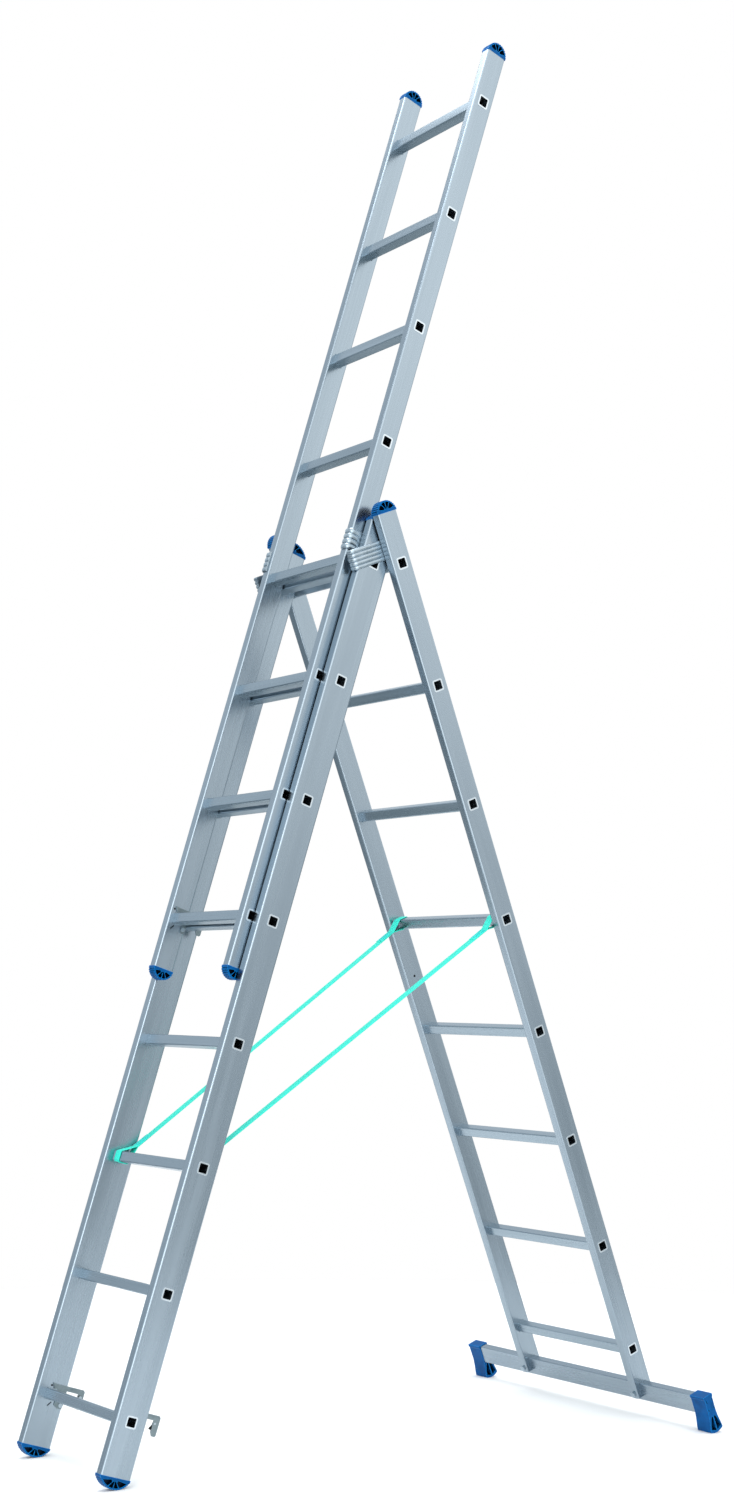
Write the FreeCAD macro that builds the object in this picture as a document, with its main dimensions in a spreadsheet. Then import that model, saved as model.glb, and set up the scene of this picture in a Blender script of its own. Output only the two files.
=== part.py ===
import FreeCAD, Part
import math
import os
import Sketcher
from FreeCAD import Placement, Rotation, Vector

# Three-section aluminium combination ladder, standing as an A-frame with its
# third section raised four rungs. Units are mm and degrees.
# World frame: +Z up, X across the ladder, -Y the climbing side.
# Section frame of each ladder section: origin at the centre of its lowest
# rung, +Z up along the stiles, -Y its front face.

DIMS = {
    # rungs and stiles
    "rung_pitch": 280, "rung_count": 8, "rung_side": 24, "rung_corner": 3,
    "rung_wall": 2, "collar_side": 27, "collar_inner": 3, "lip_outer": 0.6,
    "stile_thick": 24, "stile_wall": 1.6, "stile_corner": 4,
    "length_a": 2200, "length_b": 2170, "length_c": 2200,
    "width_a": 352, "width_b": 407, "width_c": 462,
    "depth_a": 50, "depth_b": 73, "depth_c": 52,
    "margin_a": 120, "margin_b": 120, "margin_c": 126,
    # how the sections sit together
    "nest_a": 38, "raised_rungs": 4, "lean_b": 18.3, "lean_c": 21.06,
    "hinge_up": 1980, "hinge_back": 53, "foot_y": -692.2,
    # end caps
    "cap_width": 25, "cap_rise": 22, "cap_base": 4, "cap_web": 6,
    "cap_radius_a": 25.8, "cap_radius_b": 42.1, "cap_radius_c": 26.96,
    "tooth_depth": 1.6, "tooth_width": 3.2, "plug_length": 24, "plug_gap": 0.25,
    # hooks, latches and their rivets
    "hook_thick": 3, "hook_top": 26, "hook_arm": 13, "hook_leg": 15, "hook_drop": 20,
    "latch_thick": 2.4, "latch_pin": 4, "latch_gap": 0.05, "latch_in": 5, "latch_up": 8,
    "latch_pushed": 25,
    "rivet_shank": 5, "rivet_head": 10, "rivet_head_thick": 1.6,
    # pressed guide brackets
    "plate": 2.5, "rib_out": 2, "rib_count": 4,
    "guide_low": 1972, "guide_tall": 48, "guide_front": 63.5, "guide_wrap": 21,
    "brace_low": 1976, "brace_tall": 45, "brace_front": 104, "brace_wrap": 17,
    # stabiliser bar, its bolts and feet
    "bar_length": 900, "bar_tall": 48, "bar_deep": 21, "bar_wall": 1.8, "bar_centre": -114,
    "slot_gap": 0.1, "bolt_shank": 8, "bolt_flats": 13, "bolt_head": 5.3, "nut_tall": 6.5,
    "foot_in": 417, "foot_wide": 48, "foot_top": -88, "foot_deep": 26, "foot_base": 38,
    "sole_centre": -150, "sole_radius": 34.91, "socket_deep": 33.2,
    # webbing straps
    "strap_wide": 25, "strap_thick": 1.6, "strap_gap": 0.35,
    "strap_x_b": 163.5, "strap_x_c": 190.5, "strap_rung_b": 2, "strap_rung_c": 4,
}


class Q:
    """A size as a number together with the spreadsheet expression that gives it."""

    def __init__(self, value, text=None):
        self.value = float(value)
        self.text = text or "(%r)" % self.value

    def join(self, other, sign, result):
        return Q(result, "(%s %s %s)" % (self.text, sign, other.text))

    def __add__(self, other):
        other = as_q(other)
        return self.join(other, "+", self.value + other.value)

    def __sub__(self, other):
        other = as_q(other)
        return self.join(other, "-", self.value - other.value)

    def __mul__(self, other):
        other = as_q(other)
        return self.join(other, "*", self.value * other.value)

    def __truediv__(self, other):
        other = as_q(other)
        return self.join(other, "/", self.value / other.value)

    def __neg__(self):
        return Q(-self.value, "(-1 * %s)" % self.text)


def as_q(size):
    return size if isinstance(size, Q) else Q(size)


doc = FreeCAD.newDocument("combination_ladder")
sheet = doc.addObject("Spreadsheet::Sheet", "Dims")
for row, (name, number) in enumerate(DIMS.items(), 1):
    sheet.set("A%d" % row, name)
    sheet.set("B%d" % row, str(number))
    sheet.setAlias("B%d" % row, name)
doc.recompute()


def dim(name):
    return Q(sheet.get(name), "Dims." + name)


def bind(thing, prop, size):
    thing.setExpression(prop, as_q(size).text)


def new_body(label):
    body = doc.addObject("PartDesign::Body", label)
    body.Label = label
    return body


def new_sketch(body, name, role, offset=None):
    """A sketch on one of the body's own origin planes, pushed along its normal by offset."""
    sketch = body.newObject("Sketcher::SketchObject", name)
    plane = next(f for f in body.Origin.OriginFeatures if f.Role == role)
    sketch.AttachmentSupport = [(plane, "")]
    sketch.MapMode = "FlatFace"
    if offset is not None:
        bind(sketch, "AttachmentOffset.Base.z", offset)
    return sketch


def fix(sketch, kind, args, size):
    """Adds one sized constraint and binds it to its expression."""
    size = as_q(size)
    at = sketch.addConstraint(Sketcher.Constraint(kind, *args, size.value))
    if "Dims." in size.text:
        name = "c%d" % at
        sketch.renameConstraint(at, name)
        sketch.setExpression("Constraints." + name, size.text)


def fix_point(sketch, geo, end, x, y):
    fix(sketch, "DistanceX", (-1, 1, geo, end), x)
    fix(sketch, "DistanceY", (-1, 1, geo, end), y)


def outline(sketch, points):
    """A closed polygon with every corner held at its own place."""
    points = [(as_q(x), as_q(y)) for x, y in points]
    flat = [Vector(x.value, y.value, 0) for x, y in points]
    ring = [Part.LineSegment(a, b) for a, b in zip(flat, flat[1:] + flat[:1])]
    first = sketch.addGeometry(ring, False)[0]
    for i, (x, y) in enumerate(points):
        sketch.addConstraint(
            Sketcher.Constraint("Coincident", first + i, 2, first + (i + 1) % len(points), 1))
        fix_point(sketch, first + i, 1, x, y)


def rounded_rect(sketch, wide, tall, radius, mid_x=0, mid_y=0):
    """A rectangle with four equal round corners, held by its four sides."""
    wide, tall, radius = as_q(wide), as_q(tall), as_q(radius)
    mid_x, mid_y = as_q(mid_x), as_q(mid_y)
    x0, x1 = mid_x.value - wide.value / 2, mid_x.value + wide.value / 2
    y0, y1 = mid_y.value - tall.value / 2, mid_y.value + tall.value / 2
    r = radius.value
    z = Vector(0, 0, 1)

    def side(ax, ay, bx, by):
        return Part.LineSegment(Vector(ax, ay, 0), Vector(bx, by, 0))

    def corner(cx, cy, start):
        circle = Part.Circle(Vector(cx, cy, 0), z, r)
        return Part.ArcOfCircle(circle, math.radians(start), math.radians(start + 90))

    first = sketch.addGeometry([
        side(x0 + r, y0, x1 - r, y0), corner(x1 - r, y0 + r, 270),
        side(x1, y0 + r, x1, y1 - r), corner(x1 - r, y1 - r, 0),
        side(x1 - r, y1, x0 + r, y1), corner(x0 + r, y1 - r, 90),
        side(x0, y1 - r, x0, y0 + r), corner(x0 + r, y0 + r, 180)], False)[0]
    for i in range(8):
        sketch.addConstraint(Sketcher.Constraint("Tangent", first + i, 2, first + (i + 1) % 8, 1))
    for i in (0, 4):
        sketch.addConstraint(Sketcher.Constraint("Horizontal", first + i))
    for i in (2, 6):
        sketch.addConstraint(Sketcher.Constraint("Vertical", first + i))
    for i in (3, 5, 7):
        sketch.addConstraint(Sketcher.Constraint("Equal", first + 1, first + i))
    fix(sketch, "Radius", (first + 1,), radius)
    fix(sketch, "DistanceX", (-1, 1, first + 6, 1), mid_x - wide / 2)
    fix(sketch, "DistanceX", (-1, 1, first + 2, 1), mid_x + wide / 2)
    fix(sketch, "DistanceY", (-1, 1, first, 1), mid_y - tall / 2)
    fix(sketch, "DistanceY", (-1, 1, first + 4, 1), mid_y + tall / 2)


def circle(sketch, diameter, mid_x, mid_y):
    mid_x, mid_y, radius = as_q(mid_x), as_q(mid_y), as_q(diameter) / 2
    geo = sketch.addGeometry(
        Part.Circle(Vector(mid_x.value, mid_y.value, 0), Vector(0, 0, 1), radius.value), False)
    fix(sketch, "Radius", (geo,), radius)
    fix_point(sketch, geo, 3, mid_x, mid_y)


def extrude(body, kind, name, sketch, length=None, both=False, reverse=False):
    """A Pad or Pocket of a sketch; a Pocket without a length goes through all."""
    feature = body.newObject("PartDesign::" + kind, name)
    feature.Profile = sketch
    if both:
        feature.SideType = "Symmetric"
    feature.Reversed = reverse
    if length is None:
        feature.Type = "ThroughAll"
    else:
        bind(feature, "Length", length)
    sketch.Visibility = False
    return feature


def mirror_x(body, name, originals):
    """Repeats features on the other side of the body's YZ plane."""
    feature = body.newObject("PartDesign::Mirrored", name)
    feature.Originals = originals
    feature.MirrorPlane = (next(f for f in body.Origin.OriginFeatures if f.Role == "YZ_Plane"), [""])
    body.Tip = feature
    return feature


def axis_of(body, role):
    return (next(f for f in body.Origin.OriginFeatures if f.Role == role), [""])


# where the three sections stand
LEAN_B, LEAN_C = dim("lean_b").value, dim("lean_c").value
TOP_RUNG = (dim("rung_count").value - 1) * dim("rung_pitch").value
CAP_APEX = dim("cap_base").value + dim("cap_rise").value


def section_b_place():
    radius = dim("cap_radius_b").value
    below = dim("margin_b").value + CAP_APEX - radius
    height = radius + below * math.cos(math.radians(LEAN_B))
    return Placement(Vector(0, dim("foot_y").value, height), Rotation(Vector(1, 0, 0), -LEAN_B))


PLACE_B = section_b_place()
PLACE_A = PLACE_B.multiply(Placement(
    Vector(0, -dim("nest_a").value, dim("raised_rungs").value * dim("rung_pitch").value), Rotation()))
HINGE = PLACE_B.multVec(Vector(0, dim("hinge_back").value, dim("hinge_up").value))
TURN_C = Rotation(Vector(1, 0, 0), LEAN_C)
PLACE_C = Placement(HINGE - TURN_C.multVec(Vector(0, 0, TOP_RUNG)), TURN_C)
PLACES = {"a": PLACE_A, "b": PLACE_B, "c": PLACE_C}
UPSIDE_DOWN = Rotation(Vector(1, 0, 0), 180)


def put(body, section, x=0, y=0, z=0, turn=None):
    body.Placement = PLACES[section].multiply(Placement(Vector(x, y, z), turn or Rotation()))


def sides():
    return (("left", -1), ("right", 1))


def stile_x(section):
    return dim("width_" + section) / 2 - dim("stile_thick") / 2


# rungs: one square tube through both stiles, swaged to a collar inside each
# stile and to a flat lip outside
def rung(section, number):
    body = new_body("section_%s_rung_%d" % (section, number))
    width = dim("width_" + section)
    bore = dim("rung_side") - dim("rung_wall") * 2
    bore_corner = dim("rung_corner") - dim("rung_wall") / 2

    def ring(name, outer, corner, offset=None):
        sketch = new_sketch(body, name, "YZ_Plane", offset)
        rounded_rect(sketch, outer, outer, corner)
        rounded_rect(sketch, bore, bore, bore_corner)
        return sketch

    tube = ring("TubeSketch", dim("rung_side"), dim("rung_corner"))
    extrude(body, "Pad", "Tube", tube, width, both=True)
    wide = dim("rung_corner") + (dim("collar_side") - dim("rung_side")) / 2
    lip = extrude(body, "Pad", "Lip", ring("LipSketch", dim("collar_side"), wide, width / 2),
                  dim("lip_outer"))
    inner = width / 2 - dim("stile_thick") - dim("collar_inner")
    collar = extrude(body, "Pad", "Collar", ring("CollarSketch", dim("collar_side"), wide, inner),
                     dim("collar_inner"))
    mirror_x(body, "BothEnds", [lip, collar])
    put(body, section, z=number * dim("rung_pitch").value - dim("rung_pitch").value)


# stiles: closed rectangular tubes, pierced for the rungs
def stile(section, side, sign):
    body = new_body("section_%s_stile_%s" % (section, side))
    thick, deep, wall = dim("stile_thick"), dim("depth_" + section), dim("stile_wall")
    margin = dim("margin_" + section)
    wall_sketch = new_sketch(body, "ProfileSketch", "XY_Plane", -margin)
    rounded_rect(wall_sketch, thick, deep, dim("stile_corner"))
    rounded_rect(wall_sketch, thick - wall * 2, deep - wall * 2, dim("stile_corner") - wall)
    extrude(body, "Pad", "Profile", wall_sketch, dim("length_" + section))
    hole = new_sketch(body, "RungHoleSketch", "YZ_Plane")
    rounded_rect(hole, dim("rung_side"), dim("rung_side"), dim("rung_corner"))
    cut = extrude(body, "Pocket", "RungHole", hole, thick + 2, both=True)
    row = body.newObject("PartDesign::LinearPattern", "RungHoles")
    row.Originals = [cut]
    row.Direction = axis_of(body, "Z_Axis")
    bind(row, "Length", dim("rung_pitch") * (dim("rung_count") - 1))
    bind(row, "Occurrences", dim("rung_count"))
    body.Tip = row
    if section == "c":
        slot = new_sketch(body, "BarSlotSketch", "YZ_Plane")
        top = dim("bar_centre") + dim("bar_tall") / 2 + dim("slot_gap")
        half = dim("bar_deep") / 2 + dim("slot_gap")
        outline(slot, [(-half, -margin - 1), (half, -margin - 1), (half, top), (-half, top)])
        extrude(body, "Pocket", "BarSlot", slot, thick + 2, both=True)
        bolt = new_sketch(body, "BoltHoleSketch", "XZ_Plane")
        circle(bolt, dim("bolt_shank"), 0, dim("bar_centre"))
        extrude(body, "Pocket", "BoltHole", bolt, deep + 2, both=True)
        hole = new_sketch(body, "StrapHoleSketch", "YZ_Plane")
        circle(hole, 6, 0, dim("rung_pitch") * 3.5)
        extrude(body, "Pocket", "StrapHole", hole, thick, reverse=sign < 0)
    else:
        web = new_sketch(body, "HookHolesSketch", "YZ_Plane")
        back = deep / 2
        circle(web, dim("rivet_shank"), back - 7.5, -20)
        circle(web, 5, back - 40.5, 20)
        slot_y = (back - 34.5).value
        outline(web, [(slot_y - 5, -26.5), (slot_y - 2.6, -27.9), (slot_y + 5, -17.5),
                      (slot_y + 2.6, -16.1)])
        extrude(body, "Pocket", "HookHoles", web, thick, reverse=sign < 0)
    put(body, section, x=sign * stile_x(section).value)


# end caps: half-round toothed mouldings with a plug inside the stile
def cap(section, side, sign, top):
    body = new_body("section_%s_cap_%s_%s" % (section, "top" if top else "bottom", side))
    radius, wide = dim("cap_radius_" + section), dim("cap_width")
    low = radius - dim("cap_rise")
    base = low - dim("cap_base")
    r, y0 = radius.value, low.value
    half = math.sqrt(r * r - y0 * y0)
    start = math.degrees(math.atan2(y0, half))

    arch = new_sketch(body, "ArchSketch", "YZ_Plane")
    arc = Part.ArcOfCircle(Part.Circle(Vector(0, 0, 0), Vector(0, 0, 1), r),
                           math.radians(start), math.radians(180 - start))
    corners = [Vector(-half, y0, 0), Vector(-half, base.value, 0), Vector(half, base.value, 0),
               Vector(half, y0, 0)]
    arch.addGeometry([arc] + [Part.LineSegment(a, b) for a, b in zip(corners, corners[1:])], False)
    for i in range(4):
        arch.addConstraint(Sketcher.Constraint("Coincident", i, 2, (i + 1) % 4, 1))
    arch.addConstraint(Sketcher.Constraint("Coincident", 0, 3, -1, 1))
    arch.addConstraint(Sketcher.Constraint("Vertical", 1))
    arch.addConstraint(Sketcher.Constraint("Vertical", 3))
    arch.addConstraint(Sketcher.Constraint("Horizontal", 2))
    fix(arch, "Radius", (0,), radius)
    fix(arch, "DistanceY", (-1, 1, 0, 1), low)
    fix(arch, "DistanceY", (-1, 1, 2, 1), base)
    extrude(body, "Pad", "Arch", arch, wide, both=True)

    # four windows between three ribs that spread from the middle of the base bar
    windows = new_sketch(body, "WindowSketch", "YZ_Plane")
    inner, hub = r - 3.4, y0 - 0.6

    def on_arch(angle):
        """Where a rib line from the hub at this angle from upright meets the inner arch."""
        dy, dz = math.sin(math.radians(angle)), math.cos(math.radians(angle))
        b = hub * dz
        reach = -b + math.sqrt(b * b - hub * hub + inner * inner)
        return reach * dy, hub + reach * dz

    spread = math.degrees(math.atan2(half, 9.0))
    for first, last in ((3, spread * 0.47), (spread * 0.47 + 5, spread + 4)):
        middle = (first + last) / 2
        near = 4.2 / math.cos(math.radians(middle))
        for flip in (1, -1):
            ring = [(flip * near * math.sin(math.radians(last)),
                     hub + near * math.cos(math.radians(last))),
                    (flip * near * math.sin(math.radians(first)),
                     hub + near * math.cos(math.radians(first)))]
            ring += [(flip * y, z) for y, z in (on_arch(first), on_arch(middle), on_arch(last))]
            outline(windows, ring)
    extrude(body, "Pocket", "Windows", windows, wide + 2, both=True)
    extrude(body, "Pad", "MiddleWeb", arch, dim("cap_web"), both=True)

    tooth = new_sketch(body, "ToothSketch", "YZ_Plane")
    lean = math.radians(start + 7)
    turn = Rotation(Vector(0, 0, 1), math.degrees(lean))
    gap = (Vector(r + 0.4, -dim("tooth_width").value / 2, 0),
           Vector(r + 0.4, dim("tooth_width").value / 2, 0),
           Vector(r - dim("tooth_depth").value, 0, 0))
    outline(tooth, [(turn.multVec(p).x, turn.multVec(p).y) for p in gap])
    cut = extrude(body, "Pocket", "Tooth", tooth, wide + 2, both=True)
    teeth = body.newObject("PartDesign::PolarPattern", "Teeth")
    teeth.Originals = [cut]
    teeth.Axis = axis_of(body, "X_Axis")
    sweep = 180 - 2 * (start + 7)
    teeth.Angle = sweep
    teeth.Occurrences = int(round(math.radians(sweep) * r / 5.4)) + 1
    body.Tip = teeth

    plug = new_sketch(body, "PlugSketch", "XY_Plane", base)
    slack = (dim("stile_wall") + dim("plug_gap")) * 2
    rounded_rect(plug, dim("stile_thick") - slack, dim("depth_" + section) - slack, 2)
    extrude(body, "Pad", "Plug", plug, dim("plug_length"), reverse=True)

    margin = dim("margin_" + section).value
    end = dim("length_" + section).value - margin if top else -margin
    x = sign * stile_x(section).value
    if top:
        put(body, section, x=x, z=end - base.value)
    else:
        put(body, section, x=x, z=end + base.value, turn=UPSIDE_DOWN)


def hook_reach(section):
    """How far behind the section's middle the rung it hooks over lies."""
    return dim("nest_a") if section == "a" else dim("hinge_back")


def latch_pivot(section):
    return hook_reach(section) + dim("rung_side") / 2 + 1 + dim("latch_in"), dim("latch_up")


# hooks: flat plates riveted inside the stiles beside the lowest rung
def hook(section, side, sign):
    body = new_body("section_%s_hook_%s" % (section, side))
    back = dim("depth_" + section) / 2
    half = dim("rung_side") / 2 + 1.7
    inner = hook_reach(section) + dim("rung_side") / 2 + 1
    outer = inner + dim("hook_leg")
    top, under, drop = dim("hook_top"), dim("hook_top") - dim("hook_arm"), -dim("hook_drop")
    under = under + 1.2
    shape = new_sketch(body, "HookSketch", "YZ_Plane")
    outline(shape, [
        (back - 39, top + 1), (back - 33, under), (half, under), (half, drop - 2),
        (back - 12, drop - 8), (back - 3, drop - 8), (back - 1, drop), (back - 1, under),
        (inner, under), (inner, drop + 9), (inner + 3.5, drop + 2), (inner + 5, drop),
        (outer - 3, drop), (outer - 0.5, drop + 3), (outer, top - 4), (outer - 4, top),
        (back - 30, top)])
    extrude(body, "Pad", "Plate", shape, dim("hook_thick"), reverse=sign > 0)
    holes = new_sketch(body, "HoleSketch", "YZ_Plane")
    circle(holes, dim("rivet_shank"), back - 7.5, -20)
    circle(holes, dim("latch_pin"), *latch_pivot(section))
    extrude(body, "Pocket", "Holes", holes, dim("hook_thick") * 3, both=True)
    put(body, section, x=sign * (stile_x(section) - dim("stile_thick") / 2).value)


# latches: small levers on the hook legs that close the hook mouths; the rung that
# section A hangs on holds its own pair pushed in
def latch(section, side, sign):
    body = new_body("section_%s_latch_%s" % (section, side))
    shape = new_sketch(body, "LatchSketch", "YZ_Plane")
    outline(shape, [(-3.5, 3), (0, 4.5), (3.5, 3), (4, -2), (1, -12), (-4, -15.5), (-10, -14),
                    (-8.5, -10), (-4, -3)])
    extrude(body, "Pad", "Lever", shape, dim("latch_thick"), reverse=sign > 0)
    bore = new_sketch(body, "BoreSketch", "YZ_Plane")
    circle(bore, dim("latch_pin") + dim("latch_gap") * 2, 0, 0)
    extrude(body, "Pocket", "Bore", bore, dim("latch_thick") * 3, both=True)
    x = stile_x(section) - dim("stile_thick") / 2 - dim("hook_thick") - 0.15
    y, z = latch_pivot(section)
    swing = dim("latch_pushed").value if section == "a" else 0
    put(body, section, x=sign * x.value, y=y.value, z=z.value, turn=Rotation(Vector(1, 0, 0), swing))


# rivets of one section: a hook rivet and a latch pin on each side
def rivets(section):
    back = dim("depth_" + section).value / 2
    pivot_y, pivot_z = (size.value for size in latch_pivot(section))
    face = (stile_x(section) - dim("stile_thick") / 2).value
    plate, head = dim("hook_thick").value, dim("rivet_head_thick").value
    solids = []
    for _, sign in sides():
        out = Vector(sign, 0, 0)

        def stud(x, length, diameter, y, z):
            return Part.makeCylinder(diameter / 2, length, Vector(sign * x, y, z), out)

        web = dim("stile_wall").value
        shank = dim("rivet_shank").value
        rivet = stud(face - plate, plate + web + 1.2, shank, back - 7.5, -20)
        rivet = rivet.fuse(stud(face - plate - head, head, dim("rivet_head").value, back - 7.5, -20))
        solids.append(rivet.fuse(stud(face + web, 1.2, shank + 2.4, back - 7.5, -20)).removeSplitter())
        pin = dim("latch_pin").value
        lever = dim("latch_thick").value + 0.3
        stem = stud(face - plate - lever, plate + lever, pin, pivot_y, pivot_z)
        cap_head = stud(face - plate - lever - 1, 1, pin + 3, pivot_y, pivot_z)
        solids.append(stem.fuse(cap_head).removeSplitter())
    group = doc.addObject("Part::Feature", "section_%s_rivets" % section)
    group.Label = "section_%s_rivets" % section
    group.Shape = Part.makeCompound(solids)
    group.Placement = PLACES[section]


# pressed brackets: a ribbed plate inside the carrying stile that reaches forward
# and wraps round the front corner of the stile it guides
def bracket(label, section, sign, low, tall, front, wrap, root):
    body = new_body(label)
    plate = dim("plate")
    body_sketch = new_sketch(body, "PlateSketch", "XY_Plane")
    outer = as_q(0)
    pts = [(outer, root), (outer - plate, root), (outer - plate, -front),
           (outer - wrap, -front), (outer - wrap, -front - plate), (outer, -front - plate)]
    outline(body_sketch, [(x * sign, y) for x, y in pts])
    extrude(body, "Pad", "Plate", body_sketch, tall)
    rib = new_sketch(body, "RibSketch", "XY_Plane", tall / (dim("rib_count") * 4))
    edge = -(dim("depth_" + section) / 2) - 1.2
    out = dim("rib_out")
    bend = out * 1.6
    pts = [(outer - 0.4, edge), (outer, edge), (outer + out, edge - out), (outer + out, -front - plate),
           (outer + out - bend, -front - plate - out), (outer - wrap + 1, -front - plate - out),
           (outer - wrap + 1, -front - plate + 0.4), (outer - 0.4, -front - plate + 0.4)]
    outline(rib, [(x * sign, y) for x, y in pts])
    pressed = extrude(body, "Pad", "Rib", rib, tall / (dim("rib_count") * 2))
    row = body.newObject("PartDesign::LinearPattern", "Ribs")
    row.Originals = [pressed]
    row.Direction = axis_of(body, "Z_Axis")
    bind(row, "Length", tall * (dim("rib_count") - 1) / dim("rib_count"))
    bind(row, "Occurrences", dim("rib_count"))
    body.Tip = row
    x = dim("width_" + section) / 2 - dim("stile_thick")
    put(body, section, x=sign * x.value, z=low.value)


# stabiliser bar across the foot of section C
def bar():
    body = new_body("stabiliser_bar")
    tall, deep, wall = dim("bar_tall"), dim("bar_deep"), dim("bar_wall")
    shape = new_sketch(body, "TubeSketch", "YZ_Plane")
    rounded_rect(shape, deep, tall, 3)
    rounded_rect(shape, deep - wall * 2, tall - wall * 2, 1.2)
    extrude(body, "Pad", "Tube", shape, dim("bar_length"), both=True)
    holes = new_sketch(body, "BoltSketch", "XZ_Plane")
    for sign in (-1, 1):
        circle(holes, dim("bolt_shank"), stile_x("c") * sign, 0)
    extrude(body, "Pocket", "BoltHoles", holes, deep + 2, both=True)
    put(body, "c", z=dim("bar_centre").value)


def hexagon(flats, height, at):
    turn = [math.radians(60 * i + 30) for i in range(7)]
    ring = [Vector(flats / math.sqrt(3) * math.cos(t), 0, flats / math.sqrt(3) * math.sin(t)) + at
            for t in turn]
    return Part.Face(Part.makePolygon(ring)).extrude(Vector(0, height, 0))


# two bolts through the stile feet and the bar, with their nuts behind
def bar_bolts():
    half = dim("depth_c").value / 2
    z = dim("bar_centre").value
    shank = dim("bolt_shank").value / 2
    solids = []
    for sign in (-1, 1):
        at = Vector(sign * stile_x("c").value, -half, z)
        length = 2 * half + dim("nut_tall").value + 2
        head = hexagon(dim("bolt_flats").value, -dim("bolt_head").value, at)
        solids.append(Part.makeCylinder(shank, length, at, Vector(0, 1, 0)).fuse(head).removeSplitter())
        back = Vector(at.x, half, z)
        bore = Part.makeCylinder(shank, dim("nut_tall").value, back, Vector(0, 1, 0))
        solids.append(hexagon(dim("bolt_flats").value, dim("nut_tall").value, back).cut(bore))
    group = doc.addObject("Part::Feature", "bar_bolts")
    group.Label = "bar_bolts"
    group.Shape = Part.makeCompound(solids)
    group.Placement = PLACE_C


# feet: moulded sockets over the ends of the bar, flaring to a rounded sole
def bar_foot(side, sign):
    body = new_body("bar_foot_" + side)
    wide, top = dim("foot_wide"), dim("foot_top")
    half_top, half_low = (dim("foot_deep") / 2).value, (dim("foot_base") / 2).value
    centre, radius = dim("sole_centre").value, dim("sole_radius").value
    low = centre - math.sqrt(radius ** 2 - half_low ** 2)
    shape = new_sketch(body, "SideSketch", "YZ_Plane")
    outline_up = [(half_low, low), (half_low - 1.2, low + 10), (half_top + 1, low + 30),
                  (half_top - 0.8, low + 46), (half_top - 0.6, top.value - 9),
                  (half_top + 1.2, top.value - 6), (half_top + 1.2, top.value)]
    corners = [Vector(y, z, 0) for y, z in outline_up]
    corners += [Vector(-y, z, 0) for y, z in reversed(outline_up)]
    angle = math.asin(half_low / radius)
    sole = Part.ArcOfCircle(Part.Circle(Vector(0, centre, 0), Vector(0, 0, 1), radius),
                            math.pi * 1.5 - angle, math.pi * 1.5 + angle)
    shape.addGeometry([sole] + [Part.LineSegment(a, b) for a, b in zip(corners, corners[1:])], False)
    count = len(corners)
    for i in range(count):
        shape.addConstraint(Sketcher.Constraint("Coincident", i, 2, (i + 1) % count, 1))
    for i, point in enumerate(corners[:-1], 1):
        fix_point(shape, i, 1, point.x, point.y)
    fix_point(shape, count - 1, 2, corners[-1].x, corners[-1].y)
    fix(shape, "Radius", (0,), dim("sole_radius"))
    extrude(body, "Pad", "Block", shape, wide, reverse=sign < 0)
    socket = new_sketch(body, "SocketSketch", "YZ_Plane")
    rounded_rect(socket, dim("bar_deep") + dim("slot_gap") * 2,
                 dim("bar_tall") + dim("slot_gap") * 2, 3, 0, dim("bar_centre"))
    extrude(body, "Pocket", "Socket", socket, dim("socket_deep"), reverse=sign > 0)
    for name, offset, inward in (("Inner", 0, True), ("Outer", wide * sign, False)):
        windows = new_sketch(body, name + "WindowSketch", "YZ_Plane", as_q(offset))
        for flip in (1, -1):
            outline(windows, [(flip * 1.4, -143), (flip * 6, -143), (flip * 11.5, -157),
                              (flip * 16, -174), (flip * 1.4, -180)])
        extrude(body, "Pocket", name + "Windows", windows, wide / 2 - 3,
                reverse=(sign > 0) == inward)
    slots = new_sketch(body, "SlotSketch", "YZ_Plane", as_q(wide * sign))
    for y, z in ((-8, -103), (-8, -124), (9.5, -103), (9.5, -124)):
        outline(slots, [(y - 1.2, z - 3.5), (y + 1.2, z - 3.5), (y + 1.2, z + 3.5), (y - 1.2, z + 3.5)])
    extrude(body, "Pocket", "Slots", slots, 4, reverse=sign < 0)
    put(body, "c", x=sign * dim("foot_in").value)


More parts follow.
